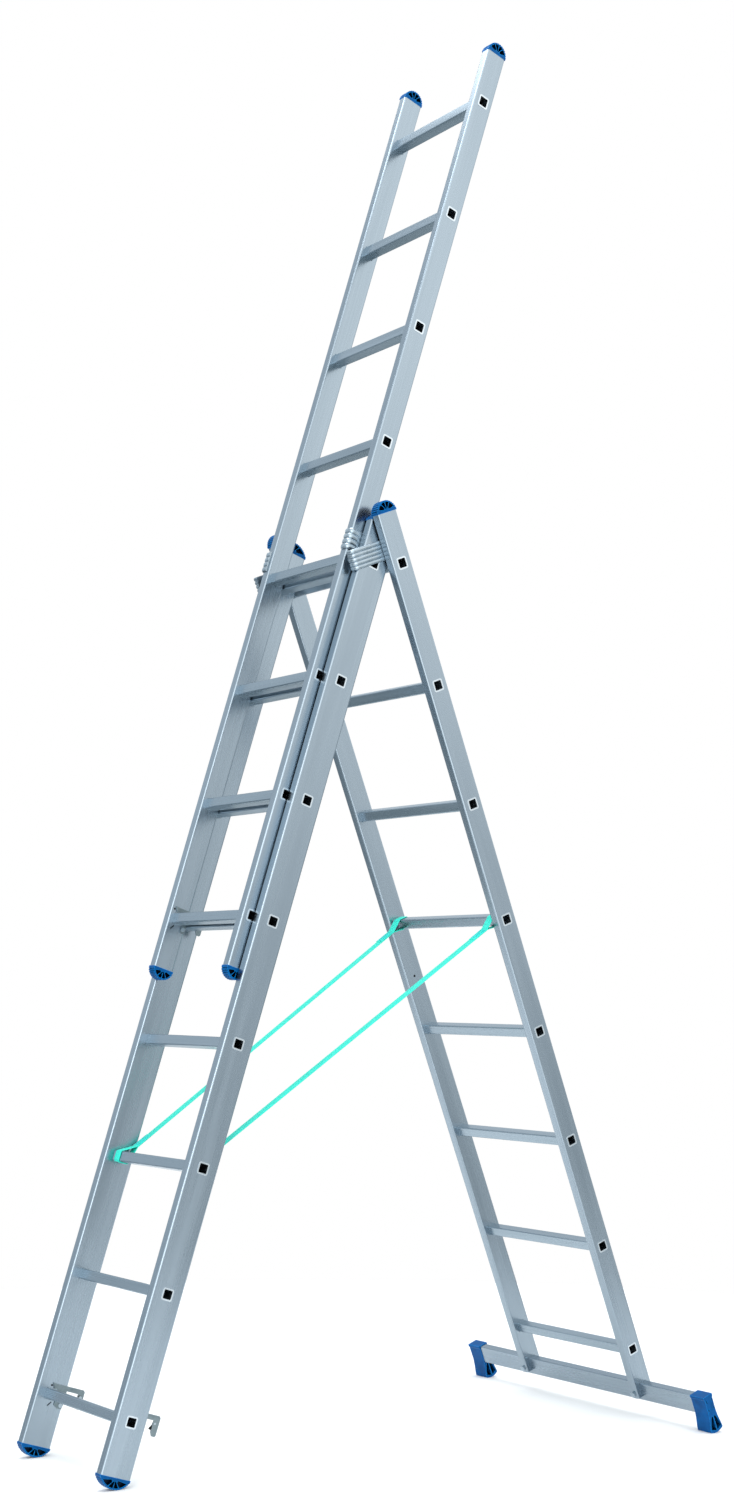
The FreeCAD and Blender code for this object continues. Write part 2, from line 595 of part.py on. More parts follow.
# straps: a span of webbing with a sewn eye round a rung of B and a rung of C
def strap(side, sign):
    half, thick = dim("strap_wide").value / 2, dim("strap_thick").value
    inner = dim("rung_side").value + dim("strap_gap").value * 2
    corner = dim("rung_corner").value + dim("strap_gap").value
    ends = []
    for section, x, number in (("b", dim("strap_x_b"), dim("strap_rung_b")),
                               ("c", dim("strap_x_c"), dim("strap_rung_c"))):
        place = PLACES[section]
        middle = place.multVec(Vector(sign * x.value, 0, number.value * dim("rung_pitch").value))
        ends.append((middle, place.Rotation))

    def prism(middle, turn, size, radius, length):
        box = Part.makeBox(length, size, size, Vector(-length / 2, -size / 2, -size / 2))
        edges = [e for e in box.Edges if abs(e.tangentAt(e.FirstParameter).x) > 0.99]
        solid = box.makeFillet(radius, edges)
        solid.Placement = Placement(middle, turn)
        return solid

    along = ends[1][0] - ends[0][0]
    along = Vector(0, along.y, along.z).normalize()
    across = Vector(1, 0, 0).cross(along)
    wires = []
    for (middle, _), push in zip(ends, (1, -1)):
        start = middle + along * (push * (inner / 2 + thick * 0.6))
        ring = [start + Vector(dx, 0, 0) + across * dn for dx, dn in (
            (-half, -thick / 2), (half, -thick / 2), (half, thick / 2), (-half, thick / 2),
            (-half, -thick / 2))]
        wires.append(Part.makePolygon(ring))
    band = Part.makeLoft(wires, True, True)
    for middle, turn in ends:
        band = band.fuse(prism(middle, turn, inner + thick * 2, corner + thick, half * 2))
    for middle, turn in ends:
        band = band.cut(prism(middle, turn, inner, corner, half * 2 + 10))
    band = band.removeSplitter()
    node = doc.addObject("Part::Feature", "strap_" + side)
    node.Label = "strap_" + side
    node.Shape = band.Solids[0] if len(band.Solids) == 1 else band
    node.Placement = Placement()


for part_of in ("a", "b", "c"):
    for n in range(1, int(dim("rung_count").value) + 1):
        rung(part_of, n)
    for edge_name, sign_x in sides():
        stile(part_of, edge_name, sign_x)
        cap(part_of, edge_name, sign_x, True)
        if part_of != "c":
            cap(part_of, edge_name, sign_x, False)
            hook(part_of, edge_name, sign_x)
            latch(part_of, edge_name, sign_x)
    if part_of != "c":
        rivets(part_of)
for edge_name, sign_x in sides():
    bracket("guide_bracket_" + edge_name, "b", sign_x, dim("guide_low"), dim("guide_tall"),
            dim("guide_front"), dim("guide_wrap"), -18)
    bracket("hinge_bracket_" + edge_name, "c", sign_x, dim("brace_low"), dim("brace_tall"),
            dim("brace_front"), dim("brace_wrap"), -14)
    bar_foot(edge_name, sign_x)
    strap(edge_name, sign_x)
bar()
bar_bolts()
doc.recompute()

os.makedirs("parts", exist_ok=True)
pieces = [o for o in doc.Objects
          if o.TypeId == "PartDesign::Body" or (o.TypeId == "Part::Feature" and not o.InList)]
faults = [o.Label for o in doc.Objects if "Invalid" in o.State or "Error" in o.State]
faults += [o.Label for o in pieces if o.Shape.isNull() or not o.Shape.isValid()]
if faults:
    raise RuntimeError("faulty: " + ", ".join(faults))
for piece in pieces:
    piece.Shape.exportStep("parts/%s.step" % piece.Label)
print(len(pieces), "pieces")
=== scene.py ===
import math

import bmesh
import bpy
from mathutils import Matrix, Vector

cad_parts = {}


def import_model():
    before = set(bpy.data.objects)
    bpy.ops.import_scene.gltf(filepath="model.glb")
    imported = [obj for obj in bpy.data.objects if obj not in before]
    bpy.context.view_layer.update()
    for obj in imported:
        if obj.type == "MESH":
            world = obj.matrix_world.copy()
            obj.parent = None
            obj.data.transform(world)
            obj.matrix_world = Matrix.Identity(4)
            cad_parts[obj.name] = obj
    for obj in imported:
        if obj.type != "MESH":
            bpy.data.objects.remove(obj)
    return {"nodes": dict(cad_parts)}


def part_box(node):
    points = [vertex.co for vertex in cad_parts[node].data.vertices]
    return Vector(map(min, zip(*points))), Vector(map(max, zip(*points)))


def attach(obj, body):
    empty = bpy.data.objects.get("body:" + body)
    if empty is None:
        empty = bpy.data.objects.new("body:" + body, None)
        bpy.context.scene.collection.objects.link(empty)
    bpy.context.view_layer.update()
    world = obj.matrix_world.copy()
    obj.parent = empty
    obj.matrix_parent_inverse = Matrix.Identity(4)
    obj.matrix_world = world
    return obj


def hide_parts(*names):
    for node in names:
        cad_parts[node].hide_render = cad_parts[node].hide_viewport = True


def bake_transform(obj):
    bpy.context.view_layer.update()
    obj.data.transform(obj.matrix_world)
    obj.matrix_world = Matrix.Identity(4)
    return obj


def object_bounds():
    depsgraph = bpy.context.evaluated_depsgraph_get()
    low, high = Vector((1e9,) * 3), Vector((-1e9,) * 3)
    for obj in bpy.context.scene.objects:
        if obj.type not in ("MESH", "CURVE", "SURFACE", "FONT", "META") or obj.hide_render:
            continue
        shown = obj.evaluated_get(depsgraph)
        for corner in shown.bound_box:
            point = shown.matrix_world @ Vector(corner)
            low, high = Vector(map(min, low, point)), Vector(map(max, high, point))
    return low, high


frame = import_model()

CAD_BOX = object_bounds()

# how the three sections stand: the distance between rungs, and each section's lean about X
PITCH = 0.280
LEAN = {"a": math.radians(-18.3), "b": math.radians(-18.3), "c": math.radians(21.06)}


def section_matrix(name):
    """A section's own place: the middle of its lowest rung, with Z running up its stiles."""
    low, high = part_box("section_%s_rung_1" % name)
    middle = [(a + b) / 2 for a, b in zip(low, high)]
    return Matrix.Translation(middle) @ Matrix.Rotation(LEAN[name], 4, "X")


SECTION = {name: section_matrix(name) for name in "abc"}


# ---------------------------------------------------------------- materials
class Nodes:
    """Builds one procedural material, with positions taken from the piece itself."""

    def __init__(self, name):
        self.material = bpy.data.materials.new(name)
        self.material.use_nodes = True
        self.tree = self.material.node_tree
        self.shader = self.tree.nodes["Principled BSDF"]
        self.place = self.add("ShaderNodeTexCoord").outputs["Object"]

    def add(self, kind, **settings):
        node = self.tree.nodes.new(kind)
        for key, value in settings.items():
            setattr(node, key, value)
        return node

    def link(self, source, target):
        self.tree.links.new(source, target)

    def turned(self, angle, scale):
        """The position turned about X, so its third part runs up a leaning stile, and scaled."""
        turn = self.add("ShaderNodeVectorRotate", rotation_type="X_AXIS")
        turn.inputs["Angle"].default_value = angle
        self.link(self.place, turn.inputs["Vector"])
        stretch = self.add("ShaderNodeVectorMath", operation="MULTIPLY")
        stretch.inputs[1].default_value = scale
        self.link(turn.outputs[0], stretch.inputs[0])
        return stretch.outputs[0]

    def noise(self, vector, scale, detail=3.0, rough=0.55):
        node = self.add("ShaderNodeTexNoise")
        node.inputs["Scale"].default_value = scale
        node.inputs["Detail"].default_value = detail
        node.inputs["Roughness"].default_value = rough
        self.link(vector, node.inputs["Vector"])
        return node.outputs["Fac"]

    def ramp(self, fac, stops):
        node = self.add("ShaderNodeValToRGB")
        points = node.color_ramp.elements
        while len(points) < len(stops):
            points.new(0.5)
        for point, (at, colour) in zip(points, stops):
            point.position = at
            point.color = (*colour, 1.0)
        self.link(fac, node.inputs["Fac"])
        return node.outputs["Color"]

    def remap(self, value, low, high, to_low, to_high):
        node = self.add("ShaderNodeMapRange")
        numbers = (("From Min", low), ("From Max", high), ("To Min", to_low), ("To Max", to_high))
        for key, number in numbers:
            node.inputs[key].default_value = number
        self.link(value, node.inputs["Value"])
        return node.outputs["Result"]

    def mix(self, fac, a, b):
        node = self.add("ShaderNodeMix", data_type="RGBA")
        if isinstance(fac, float):
            node.inputs["Factor"].default_value = fac
        else:
            self.link(fac, node.inputs["Factor"])
        for socket, value in ((node.inputs[6], a), (node.inputs[7], b)):
            if isinstance(value, tuple):
                socket.default_value = (*value, 1.0)
            else:
                self.link(value, socket)
        return node.outputs[2]

    def sums(self, a, b, operation="ADD"):
        node = self.add("ShaderNodeMath", operation=operation)
        for socket, value in ((node.inputs[0], a), (node.inputs[1], b)):
            if isinstance(value, float):
                socket.default_value = value
            else:
                self.link(value, socket)
        return node.outputs[0]

    def bump(self, height, distance, strength=1.0):
        node = self.add("ShaderNodeBump")
        node.inputs["Strength"].default_value = strength
        node.inputs["Distance"].default_value = distance
        self.link(height, node.inputs["Height"])
        self.link(node.outputs["Normal"], self.shader.inputs["Normal"])

    def edges(self, radius):
        """White where the surface bends sharply: the bright worn edges of metal, and on plastic edges that
        are partly worn and partly a painted highlight.
        """
        bevel = self.add("ShaderNodeBevel", samples=4)
        bevel.inputs["Radius"].default_value = radius
        plain = self.add("ShaderNodeNewGeometry").outputs["Normal"]
        dot = self.add("ShaderNodeVectorMath", operation="DOT_PRODUCT")
        self.link(bevel.outputs["Normal"], dot.inputs[0])
        self.link(plain, dot.inputs[1])
        return self.remap(dot.outputs["Value"], 0.96, 0.78, 0.0, 1.0)

    def recess_shade(self, distance):
        """White down in holes and slots, which are painted dark: painted shade."""
        open_air = self.add("ShaderNodeAmbientOcclusion", samples=8, only_local=True)
        open_air.inputs["Distance"].default_value = distance
        return self.remap(open_air.outputs["AO"], 0.80, 0.45, 0.0, 1.0)

    def finish(self, colour, roughness, metallic):
        self.link(colour, self.shader.inputs["Base Color"])
        self.link(roughness, self.shader.inputs["Roughness"])
        self.shader.inputs["Metallic"].default_value = metallic
        return self.material


def extruded_aluminium(name, lean, dark, light, along, satin=(0.19, 0.28), highlight_lip_from=None):
    """Satin aluminium with faint drawing lines along one of the section's own directions.

    Past the given lip distance, to either side, is the swaged lip of a rung, painted bright as a painted
    highlight."""
    nodes = Nodes(name)
    stretch = [420.0, 420.0, 420.0]
    stretch[along] = 3.0
    lines = nodes.noise(nodes.turned(-lean, tuple(stretch)), 1.0, 2.0)
    broad = [26.0, 26.0, 26.0]
    broad[along] = 1.4
    cloud = nodes.noise(nodes.turned(-lean, tuple(broad)), 1.0, 3.0)
    tone = nodes.ramp(cloud, [(0.32, dark), (0.68, light)])
    deeper = tuple(0.85 * part for part in dark)
    tone = nodes.mix(nodes.remap(lines, 0.35, 0.65, 0.0, 0.14), tone, deeper)
    grain = nodes.sums(nodes.remap(lines, 0.3, 0.7, 0.0, 0.06), nodes.remap(cloud, 0.3, 0.7, *satin))
    if highlight_lip_from:
        parts = nodes.add("ShaderNodeSeparateXYZ")
        nodes.link(nodes.place, parts.inputs[0])
        outward = nodes.sums(parts.outputs[0], 0.0, "ABSOLUTE")
        # the swaged lip painted bright: a painted highlight where the flare catches light
        lip_highlight = nodes.remap(outward, highlight_lip_from - 0.0001, highlight_lip_from + 0.0001, 0.0, 1.0)
        tone = nodes.mix(lip_highlight, tone, (0.58, 0.65, 0.70))
    nodes.bump(lines, 0.00002, 0.06)
    return nodes.finish(tone, grain, 1.0)


def pressed_steel(name, dark, light, rubbed, satin=(0.30, 0.44)):
    """Galvanised sheet: a mottled grey skin, brighter where the edges are rubbed."""
    nodes = Nodes(name)
    spangle = nodes.add("ShaderNodeTexVoronoi")
    spangle.inputs["Scale"].default_value = 260.0
    nodes.link(nodes.place, spangle.inputs["Vector"])
    mottle = nodes.noise(nodes.place, 45.0, 4.0)
    tone = nodes.ramp(mottle, [(0.3, dark), (0.7, light)])
    tone = nodes.mix(nodes.remap(spangle.outputs["Color"], 0.0, 1.0, 0.0, 0.18), tone, rubbed)
    tone = nodes.mix(nodes.edges(0.0012), tone, rubbed)
    nodes.bump(mottle, 0.0002, 0.25)
    return nodes.finish(tone, nodes.remap(mottle, 0.3, 0.7, *satin), 1.0)


def moulded_plastic(name, dark, light, satin=(0.34, 0.46), edge_wear_highlight=(0.002, 0.34, 0.92)):
    """Moulded plastic: fine spark-erosion grain, pale along its edges as wear and a painted highlight, and
    painted shade down in recesses.
    """
    nodes = Nodes(name)
    cloud = nodes.noise(nodes.place, 38.0, 3.0)
    grain = nodes.noise(nodes.place, 2600.0, 1.0)
    tone = nodes.ramp(cloud, [(0.3, dark), (0.7, light)])
    # edges painted paler: partly wear, partly a painted highlight
    tone = nodes.mix(nodes.sums(nodes.edges(0.0016), 0.7, "MULTIPLY"), tone, edge_wear_highlight)
    # holes and slots painted near-black: painted shade in the recesses
    tone = nodes.mix(nodes.recess_shade(0.014), tone, tuple(0.06 * part for part in dark))
    nodes.bump(grain, 0.00006, 0.5)
    nodes.shader.inputs["Specular IOR Level"].default_value = 0.08
    return nodes.finish(tone, nodes.remap(cloud, 0.3, 0.7, *satin), 0.0)


def webbing_cloth(name):
    """Flat woven webbing: crosswise ribs over lengthwise yarns, read from the strip's own map."""
    nodes = Nodes(name)
    strip = nodes.add("ShaderNodeUVMap", uv_map="weave").outputs["UV"]
    parts = nodes.add("ShaderNodeSeparateXYZ")
    nodes.link(strip, parts.inputs[0])

    def ridge(value, count):
        wave = nodes.sums(nodes.sums(value, float(count), "MULTIPLY"), 2 * math.pi, "MULTIPLY")
        return nodes.remap(nodes.sums(wave, 0.0, "SINE"), -1.0, 1.0, 0.0, 1.0)

    picks = ridge(parts.outputs[1], 620)
    yarns = ridge(parts.outputs[0], 720)
    weave = nodes.sums(picks, yarns, "MULTIPLY")
    fuzz = nodes.noise(nodes.place, 900.0, 3.0)
    fade = nodes.noise(nodes.place, 14.0, 2.0)
    # the weave's grooves painted down to a shaded tone: painted shade between the yarns
    tone = nodes.ramp(weave, [(0.0, (0.002, 0.54, 0.43)), (0.6, (0.003, 0.79, 0.62))])
    tone = nodes.mix(nodes.remap(fade, 0.3, 0.7, 0.0, 0.25), tone, (0.004, 0.88, 0.70))
    tone = nodes.mix(nodes.remap(fuzz, 0.45, 0.75, 0.0, 0.2), tone, (0.05, 0.90, 0.74))
    nodes.bump(nodes.sums(weave, nodes.sums(fuzz, 0.3, "MULTIPLY")), 0.0004, 0.7)
    nodes.shader.inputs["Sheen Weight"].default_value = 0.12
    nodes.shader.inputs["Sheen Roughness"].default_value = 0.4
    return nodes.finish(tone, nodes.remap(fuzz, 0.3, 0.7, 0.62, 0.80), 0.0)


ALONG_X, ALONG_Z = 0, 2
STILE_TONES = (0.285, 0.350, 0.405), (0.325, 0.395, 0.455)
RUNG_TONES = (0.285, 0.355, 0.410), (0.340, 0.415, 0.475)
RUNG_SATIN = (0.20, 0.32)

STILE_FINISH = {name: extruded_aluminium("stile_%s_aluminium" % name, LEAN[name], *STILE_TONES, ALONG_Z)
                for name in "abc"}
RUNG_FINISH = {name: extruded_aluminium("rung_%s_aluminium" % name, LEAN[name], *RUNG_TONES, ALONG_X,
                                        RUNG_SATIN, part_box("section_%s_stile_right" % name)[1][0])
               for name in "abc"}
BAR_FINISH = extruded_aluminium("bar_aluminium", 0.0, *STILE_TONES, ALONG_X)
STEEL = pressed_steel("galvanised_steel", (0.28, 0.35, 0.40), (0.38, 0.46, 0.52), (0.66, 0.75, 0.82))
HOOK_STEEL = pressed_steel("hook_steel", (0.135, 0.180, 0.200), (0.195, 0.245, 0.265),
                           (0.38, 0.45, 0.48), (0.40, 0.52))
BLUE = moulded_plastic("blue_plastic", (0.0003, 0.050, 0.175), (0.0004, 0.080, 0.270))
BLACK = moulded_plastic("black_plastic", (0.008, 0.009, 0.010), (0.020, 0.021, 0.022),
                        edge_wear_highlight=(0.10, 0.10, 0.10))
WEBBING = webbing_cloth("turquoise_webbing")
THREAD = moulded_plastic("stitching_thread", (0.008, 0.34, 0.32), (0.02, 0.50, 0.46), (0.6, 0.8))


def finish_for(node):
    if "stile" in node:
        return STILE_FINISH[node[8]]
    if "rung" in node:
        return RUNG_FINISH[node[8]]
    if node == "stabiliser_bar":
        return BAR_FINISH
    if "cap" in node or "foot" in node:
        return BLUE
    if "latch" in node:
        return BLACK
    if "hook" in node:
        return HOOK_STEEL
    return STEEL


for node_name, shown in frame["nodes"].items():
    shown.data.materials.clear()
    shown.data.materials.append(finish_for(node_name))


# ------------------------------------------------------------------- pieces
def piece(name, mesh, material, body, smooth=35):
    obj = bpy.data.objects.new(name, mesh)
    bpy.context.scene.collection.objects.link(obj)
    obj.data.materials.append(material)
    obj.data.shade_smooth()
    obj.data.set_sharp_from_angle(angle=math.radians(smooth))
    if body:
        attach(obj, body)
    return obj


def made_mesh(mesh, name):
    """The bmesh with its normals outward, as mesh data."""
    bmesh.ops.recalc_face_normals(mesh, faces=mesh.faces)
    result = bpy.data.meshes.new(name)
    mesh.to_mesh(result)
    mesh.free()
    return result


# pressed brackets: sheet bent round the front corner of the stile it holds, with
# rounded ridges pressed across it
def ridge(v, count):
    """How far a point at height v (0 to 1) stands out, from 0 in a groove to 1 on a ridge."""
    inside = (v * count) % 1.0
    return math.sin(math.pi * inside) ** 0.5 if 0.0 < v < 1.0 else 0.0


def bent_path(root, front, wrap, plate, corner=0.006, steps=8):
    """Middle line of the sheet, seen from above, as (out, along) with its outward normal."""
    points = [((-plate / 2, root + (front - corner - root) * i / 10), (1.0, 0.0)) for i in range(11)]
    for i in range(1, steps + 1):
        turn = math.pi / 2 * i / steps
        normal = (math.cos(turn), math.sin(turn))
        points.append(((-plate / 2 - corner + corner * normal[0], front - corner + corner * normal[1]),
                       normal))
    last = -plate / 2 - corner
    points += [((last + (-wrap - last) * i / 5, front), (0.0, 1.0)) for i in range(1, 6)]
    return points


def bracket_mesh(name, place, sign, low, tall, root, front, wrap, edge, count,
                 plate=0.0025, out=0.0024):
    """The pressed sheet; the ridges start at edge, where it comes out from between the stiles."""
    path = bent_path(root, front, wrap, plate)
    rows = count * 10
    mesh = bmesh.new()
    grids = []
    for side in (1, -1):
        grid = []
        for j in range(rows + 1):
            v = j / rows
            line = []
            for (px, py), (nx, ny) in path:
                grown = min(1.0, max(0.0, (py - edge) / 0.003))
                lift = plate / 2 * side + (out * ridge(v, count) * grown if side > 0 else 0.0)
                at = Vector((sign * (px + nx * lift), -(py + ny * lift), low + tall * v))
                line.append(mesh.verts.new(place @ at))
            grid.append(line)
        grids.append(grid)
    outer, inner = grids
    across = len(path) - 1
    for j in range(rows):
        for i in range(across):
            for grid, flip in ((outer, 1), (inner, -1)):
                ring = [grid[j][i], grid[j][i + 1], grid[j + 1][i + 1], grid[j + 1][i]]
                mesh.faces.new(ring if flip > 0 else ring[::-1])
    for j in range(rows):
        for i in (0, across):
            mesh.faces.new([outer[j][i], outer[j + 1][i], inner[j + 1][i], inner[j][i]])
    for i in range(across):
        for j in (0, rows):
            mesh.faces.new([outer[j][i], outer[j][i + 1], inner[j][i + 1], inner[j][i]])
    return made_mesh(mesh, name)


# in the section's own directions: x is the stile face that the sheet lies on, root, edge and
# front are distances forward, and wrap is how far the sheet reaches inwards round the corner
BRACKETS = {
    "guide_bracket": ("b", 0.1795, {"low": 1.972, "tall": 0.048, "root": 0.018, "front": 0.0647,
                                    "wrap": 0.0210, "edge": 0.0377, "count": 4}),
    "hinge_bracket": ("c", 0.2070, {"low": 1.976, "tall": 0.045, "root": 0.014, "front": 0.1052,
                                    "wrap": 0.0170, "edge": 0.0272, "count": 5}),
}
SIDES = (("left", -1), ("right", 1))

for side_name, side_sign in SIDES:
    for label, (holder, face_x, sheet) in BRACKETS.items():
        place = SECTION[holder] @ Matrix.Translation((side_sign * face_x, 0, 0))
        name = "%s_pressed_%s" % (label, side_name)
        pressed = piece(name, bracket_mesh(name, place, side_sign, **sheet), STEEL,
                        "section_" + holder, 60)
        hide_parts("%s_%s" % (label, side_name))


# straps: flat webbing with an eye sewn round a rung at each end; the two layers of an eye meet
# EYE_MEETS from the rung's middle and are sewn together for STITCHED
STRAP_WIDE, STRAP_THICK, STITCHED, EYE_MEETS = 0.025, 0.0015, 0.045, 0.040
SPAN_STEPS, SPAN_TURNS_FROM = 40, 0.17
RUNG_HALF, RUNG_ROUND, RUNG_CLEAR = 0.012, 0.003, 0.0004
STRAP_X = {"b": 0.1635, "c": 0.1905}
STRAP_RUNG = {"b": 2, "c": 4}


def around_rung(place, rung, toward):
    """The eye's points (along Y and Z) round one rung, from its upper to its lower meeting layer."""
    centre = place @ Vector((0, 0, rung * PITCH))
    radius = RUNG_ROUND + RUNG_CLEAR + STRAP_THICK / 2
    ring = []
    for cy, cz, start in ((1, 1, 0), (-1, 1, 90), (-1, -1, 180), (1, -1, 270)):
        for k in range(6):
            turn = math.radians(start + 18 * k)
            ring.append(Vector((0, cy * (RUNG_HALF - RUNG_ROUND) + radius * math.cos(turn),
                                cz * (RUNG_HALF - RUNG_ROUND) + radius * math.sin(turn))))
    ring = [centre + place.to_3x3() @ p for p in ring]
    heading = math.atan2(toward.z, toward.y)

    def bearing(p):
        off = p - centre
        return (math.atan2(off.z, off.y) - heading) % (2 * math.pi)

    ring.sort(key=bearing)
    meet = centre + toward * EYE_MEETS
    while len(ring) > 3 and left_of(meet, ring[0], ring[1]) <= 0:
        ring.pop(0)
    while len(ring) > 3 and left_of(ring[-2], ring[-1], meet) <= 0:
        ring.pop()
    return ring, meet


def left_of(a, b, c):
    return (b.y - a.y) * (c.z - b.z) - (b.z - a.z) * (c.y - b.y)


def strap_run():
    """The middles of B's and C's rungs, the way from one to the other, and the way up from it."""
    low, high = (SECTION[name] @ Vector((0, 0, STRAP_RUNG[name] * PITCH)) for name in "bc")
    along = (high - low).normalized()
    return low, high, along, Vector((0, -along.z, along.y))


def strap_path(sign):
    """The strap's middle line, from its sewn end at B's rung to its sewn end at C's."""
    _, _, along, upward = strap_run()
    layer = upward * (STRAP_THICK * 0.52)
    eye_b, meet_b = around_rung(SECTION["b"], STRAP_RUNG["b"], along)
    eye_c, meet_c = around_rung(SECTION["c"], STRAP_RUNG["c"], -along)
    # around B's rung from the upper layer to the lower, along the span, and round C's rung from the
    # lower layer to the upper
    points = [(meet_b + along * STITCHED + layer, "b"), (meet_b + layer, "b")]
    points += [(p, "b") for p in eye_b]
    points += [(meet_b - layer, "b")]
    span = meet_c - meet_b
    shares = [k / SPAN_STEPS for k in range(1, SPAN_STEPS)]
    points += [(meet_b - layer + span * share, share) for share in shares]
    points += [(meet_c - layer, "c")] + [(p, "c") for p in eye_c]
    points += [(meet_c + layer, "c"), (meet_c - along * STITCHED + layer, "c")]
    out = []
    for p, where in points:
        share = {"b": 0.0, "c": 1.0}.get(where, where)
        x = STRAP_X["b"] + (STRAP_X["c"] - STRAP_X["b"]) * share
        out.append(Vector((sign * x, p.y, p.z)))
    return out


def strap_ends(sign):
    """Two points on the strap's line: a little way up the span from B's rung, and where the eye at C's
    rung meets.

    The first is SPAN_TURNS_FROM of the way from B's rung to C's."""
    low, high, along, _ = strap_run()
    low.x, high.x = sign * STRAP_X["b"], sign * STRAP_X["c"]
    return low.lerp(high, SPAN_TURNS_FROM), high - along * EYE_MEETS


def ribbon(name, path):
    """A strip of webbing along the path: rounded selvedges, and a map of its cloth in metres."""
    half, thick = STRAP_WIDE / 2, STRAP_THICK / 2
    profile = [(-half, 0.0), (-half + 0.0004, thick * 0.8), (-half + 0.0012, thick), (0.0, thick),
               (half - 0.0012, thick), (half - 0.0004, thick * 0.8), (half, 0.0),
               (half - 0.0004, -thick * 0.8), (half - 0.0012, -thick), (0.0, -thick),
               (-half + 0.0012, -thick), (-half + 0.0004, -thick * 0.8)]
    mesh = bmesh.new()
    weave = mesh.loops.layers.uv.new("weave")
    rings, run, runs = [], 0.0, []
    for i, at in enumerate(path):
        before, after = path[max(0, i - 1)], path[min(len(path) - 1, i + 1)]
        heading = Vector((0, after.y - before.y, after.z - before.z)).normalized()
        normal = Vector((0, -heading.z, heading.y))
        if i:
            run += (at - path[i - 1]).length
        runs.append(run)
        rings.append([mesh.verts.new(at + Vector((dx, 0, 0)) + normal * dn) for dx, dn in profile])
    count = len(profile)
    for i in range(len(rings) - 1):
        for k in range(count):
            face = mesh.faces.new([rings[i][k], rings[i][(k + 1) % count],
                                   rings[i + 1][(k + 1) % count], rings[i + 1][k]])
            for loop, (a, b) in zip(face.loops, ((k, i), (k + 1, i), (k + 1, i + 1), (k, i + 1))):
                loop[weave].uv = (profile[a % count][0], runs[b])
    mesh.faces.new(rings[0][::-1])
    mesh.faces.new(rings[-1])
    return made_mesh(mesh, name), run


for side_name, side_sign in SIDES:
    path = strap_path(side_sign)
    mesh, length = ribbon("strap_webbing_" + side_name, path)
    strap = piece("strap_webbing_" + side_name, mesh, WEBBING, None, 50)
    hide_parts("strap_" + side_name)
    foot, head = strap_ends(side_sign)
    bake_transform(strap)


# stitching: a box of thread with a cross in it, through both layers of each sewn eye
STITCH, STITCH_GAP, THREAD_RADIUS = 0.0032, 0.0012, 0.00045


def stitch_lines():
    """The box and its cross, as lines between (across, along) corners."""
    near, far, wide = 0.006, STITCHED - 0.005, STRAP_WIDE / 2 - 0.004
    corners = [(-wide, near), (wide, near), (wide, far), (-wide, far)]
    return [(corners[i], corners[(i + 1) % 4]) for i in range(4)] + [(corners[0], corners[2]),
                                                                      (corners[1], corners[3])]


def add_stitch(mesh, start, end, across):
    """One stitch: a rounded bead of thread that dips into the cloth at both ends."""
    run = end - start
    lift = run.cross(across).normalized()
    rings = []
    for share, size, rise in ((0.0, 0.35, -0.6), (0.2, 0.9, 0.4), (0.5, 1.0, 0.8), (0.8, 0.9, 0.4),
                              (1.0, 0.35, -0.6)):
        middle = start + run * share + lift * (THREAD_RADIUS * rise)
        sideways = run.cross(lift).normalized()
        radius = THREAD_RADIUS * size
        rings.append([mesh.verts.new(middle + (sideways * math.cos(turn) + lift * math.sin(turn)) * radius)
                      for turn in (k * math.pi / 3 for k in range(6))])
    for low, high in zip(rings, rings[1:]):
        for k in range(6):
            mesh.faces.new([low[k], low[(k + 1) % 6], high[(k + 1) % 6], high[k]])
    mesh.faces.new(rings[0][::-1])
    mesh.faces.new(rings[-1])


def stitching_mesh(name, origin, along, outward):
    """The whole pattern on one face of the sewn eye; origin is where the two layers meet."""
    mesh = bmesh.new()
    sideways = Vector((1, 0, 0))
    for (x0, y0), (x1, y1) in stitch_lines():
        start = origin + sideways * x0 + along * y0
        run = origin + sideways * x1 + along * y1 - start
        heading = run.normalized()
        for k in range(int(run.length / (STITCH + STITCH_GAP))):
            first = start + heading * (k * (STITCH + STITCH_GAP))
            across = outward.cross(heading)
            add_stitch(mesh, first, first + heading * STITCH, across)
    return made_mesh(mesh, name)


for side_name, side_sign in SIDES:
    low, high, along, upward = strap_run()
    for end_name, rung, heading in (("b", low, along), ("c", high, -along)):
        meet = rung + heading * EYE_MEETS
        meet.x = side_sign * STRAP_X[end_name]
        for face_name, outward in (("upper", upward), ("lower", -upward)):
            name = "stitching_%s_%s_%s" % (end_name, face_name, side_name)
            seam = stitching_mesh(name, meet + outward * (STRAP_THICK * 1.04), heading, outward)
            seam = piece(name, seam, THREAD, None, 60)
            foot, head = strap_ends(side_sign)
            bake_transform(seam)


# -------------------------------------------------------- floor, light, camera
def floor():
    mesh = bmesh.new()
    bmesh.ops.create_circle(mesh, cap_ends=True, segments=96, radius=2.7)
    data = bpy.data.meshes.new("floor")
    mesh.to_mesh(data)
    mesh.free()
    disc = bpy.data.objects.new("floor", data)
    bpy.context.scene.collection.objects.link(disc)
    disc.location.z = CAD_BOX[0][2] - 0.0005
    nodes = Nodes("floor_paint")
    cloud = nodes.noise(nodes.place, 3.0)
    tone = nodes.ramp(cloud, [(0.3, (0.86, 0.87, 0.87)), (0.7, (0.90, 0.90, 0.90))])
    disc.data.materials.append(nodes.finish(tone, nodes.remap(cloud, 0.3, 0.7, 0.7, 0.8), 0.0))


def area_light(name, at, target, size, power):
    data = bpy.data.lights.new(name, "AREA")
    data.shape = "RECTANGLE"
    data.size, data.size_y = size
    data.energy = power
    lamp = bpy.data.objects.new(name, data)
    bpy.context.scene.collection.objects.link(lamp)
    lamp.location = at
    lamp.rotation_euler = (Vector(target) - Vector(at)).to_track_quat("-Z", "Y").to_euler()


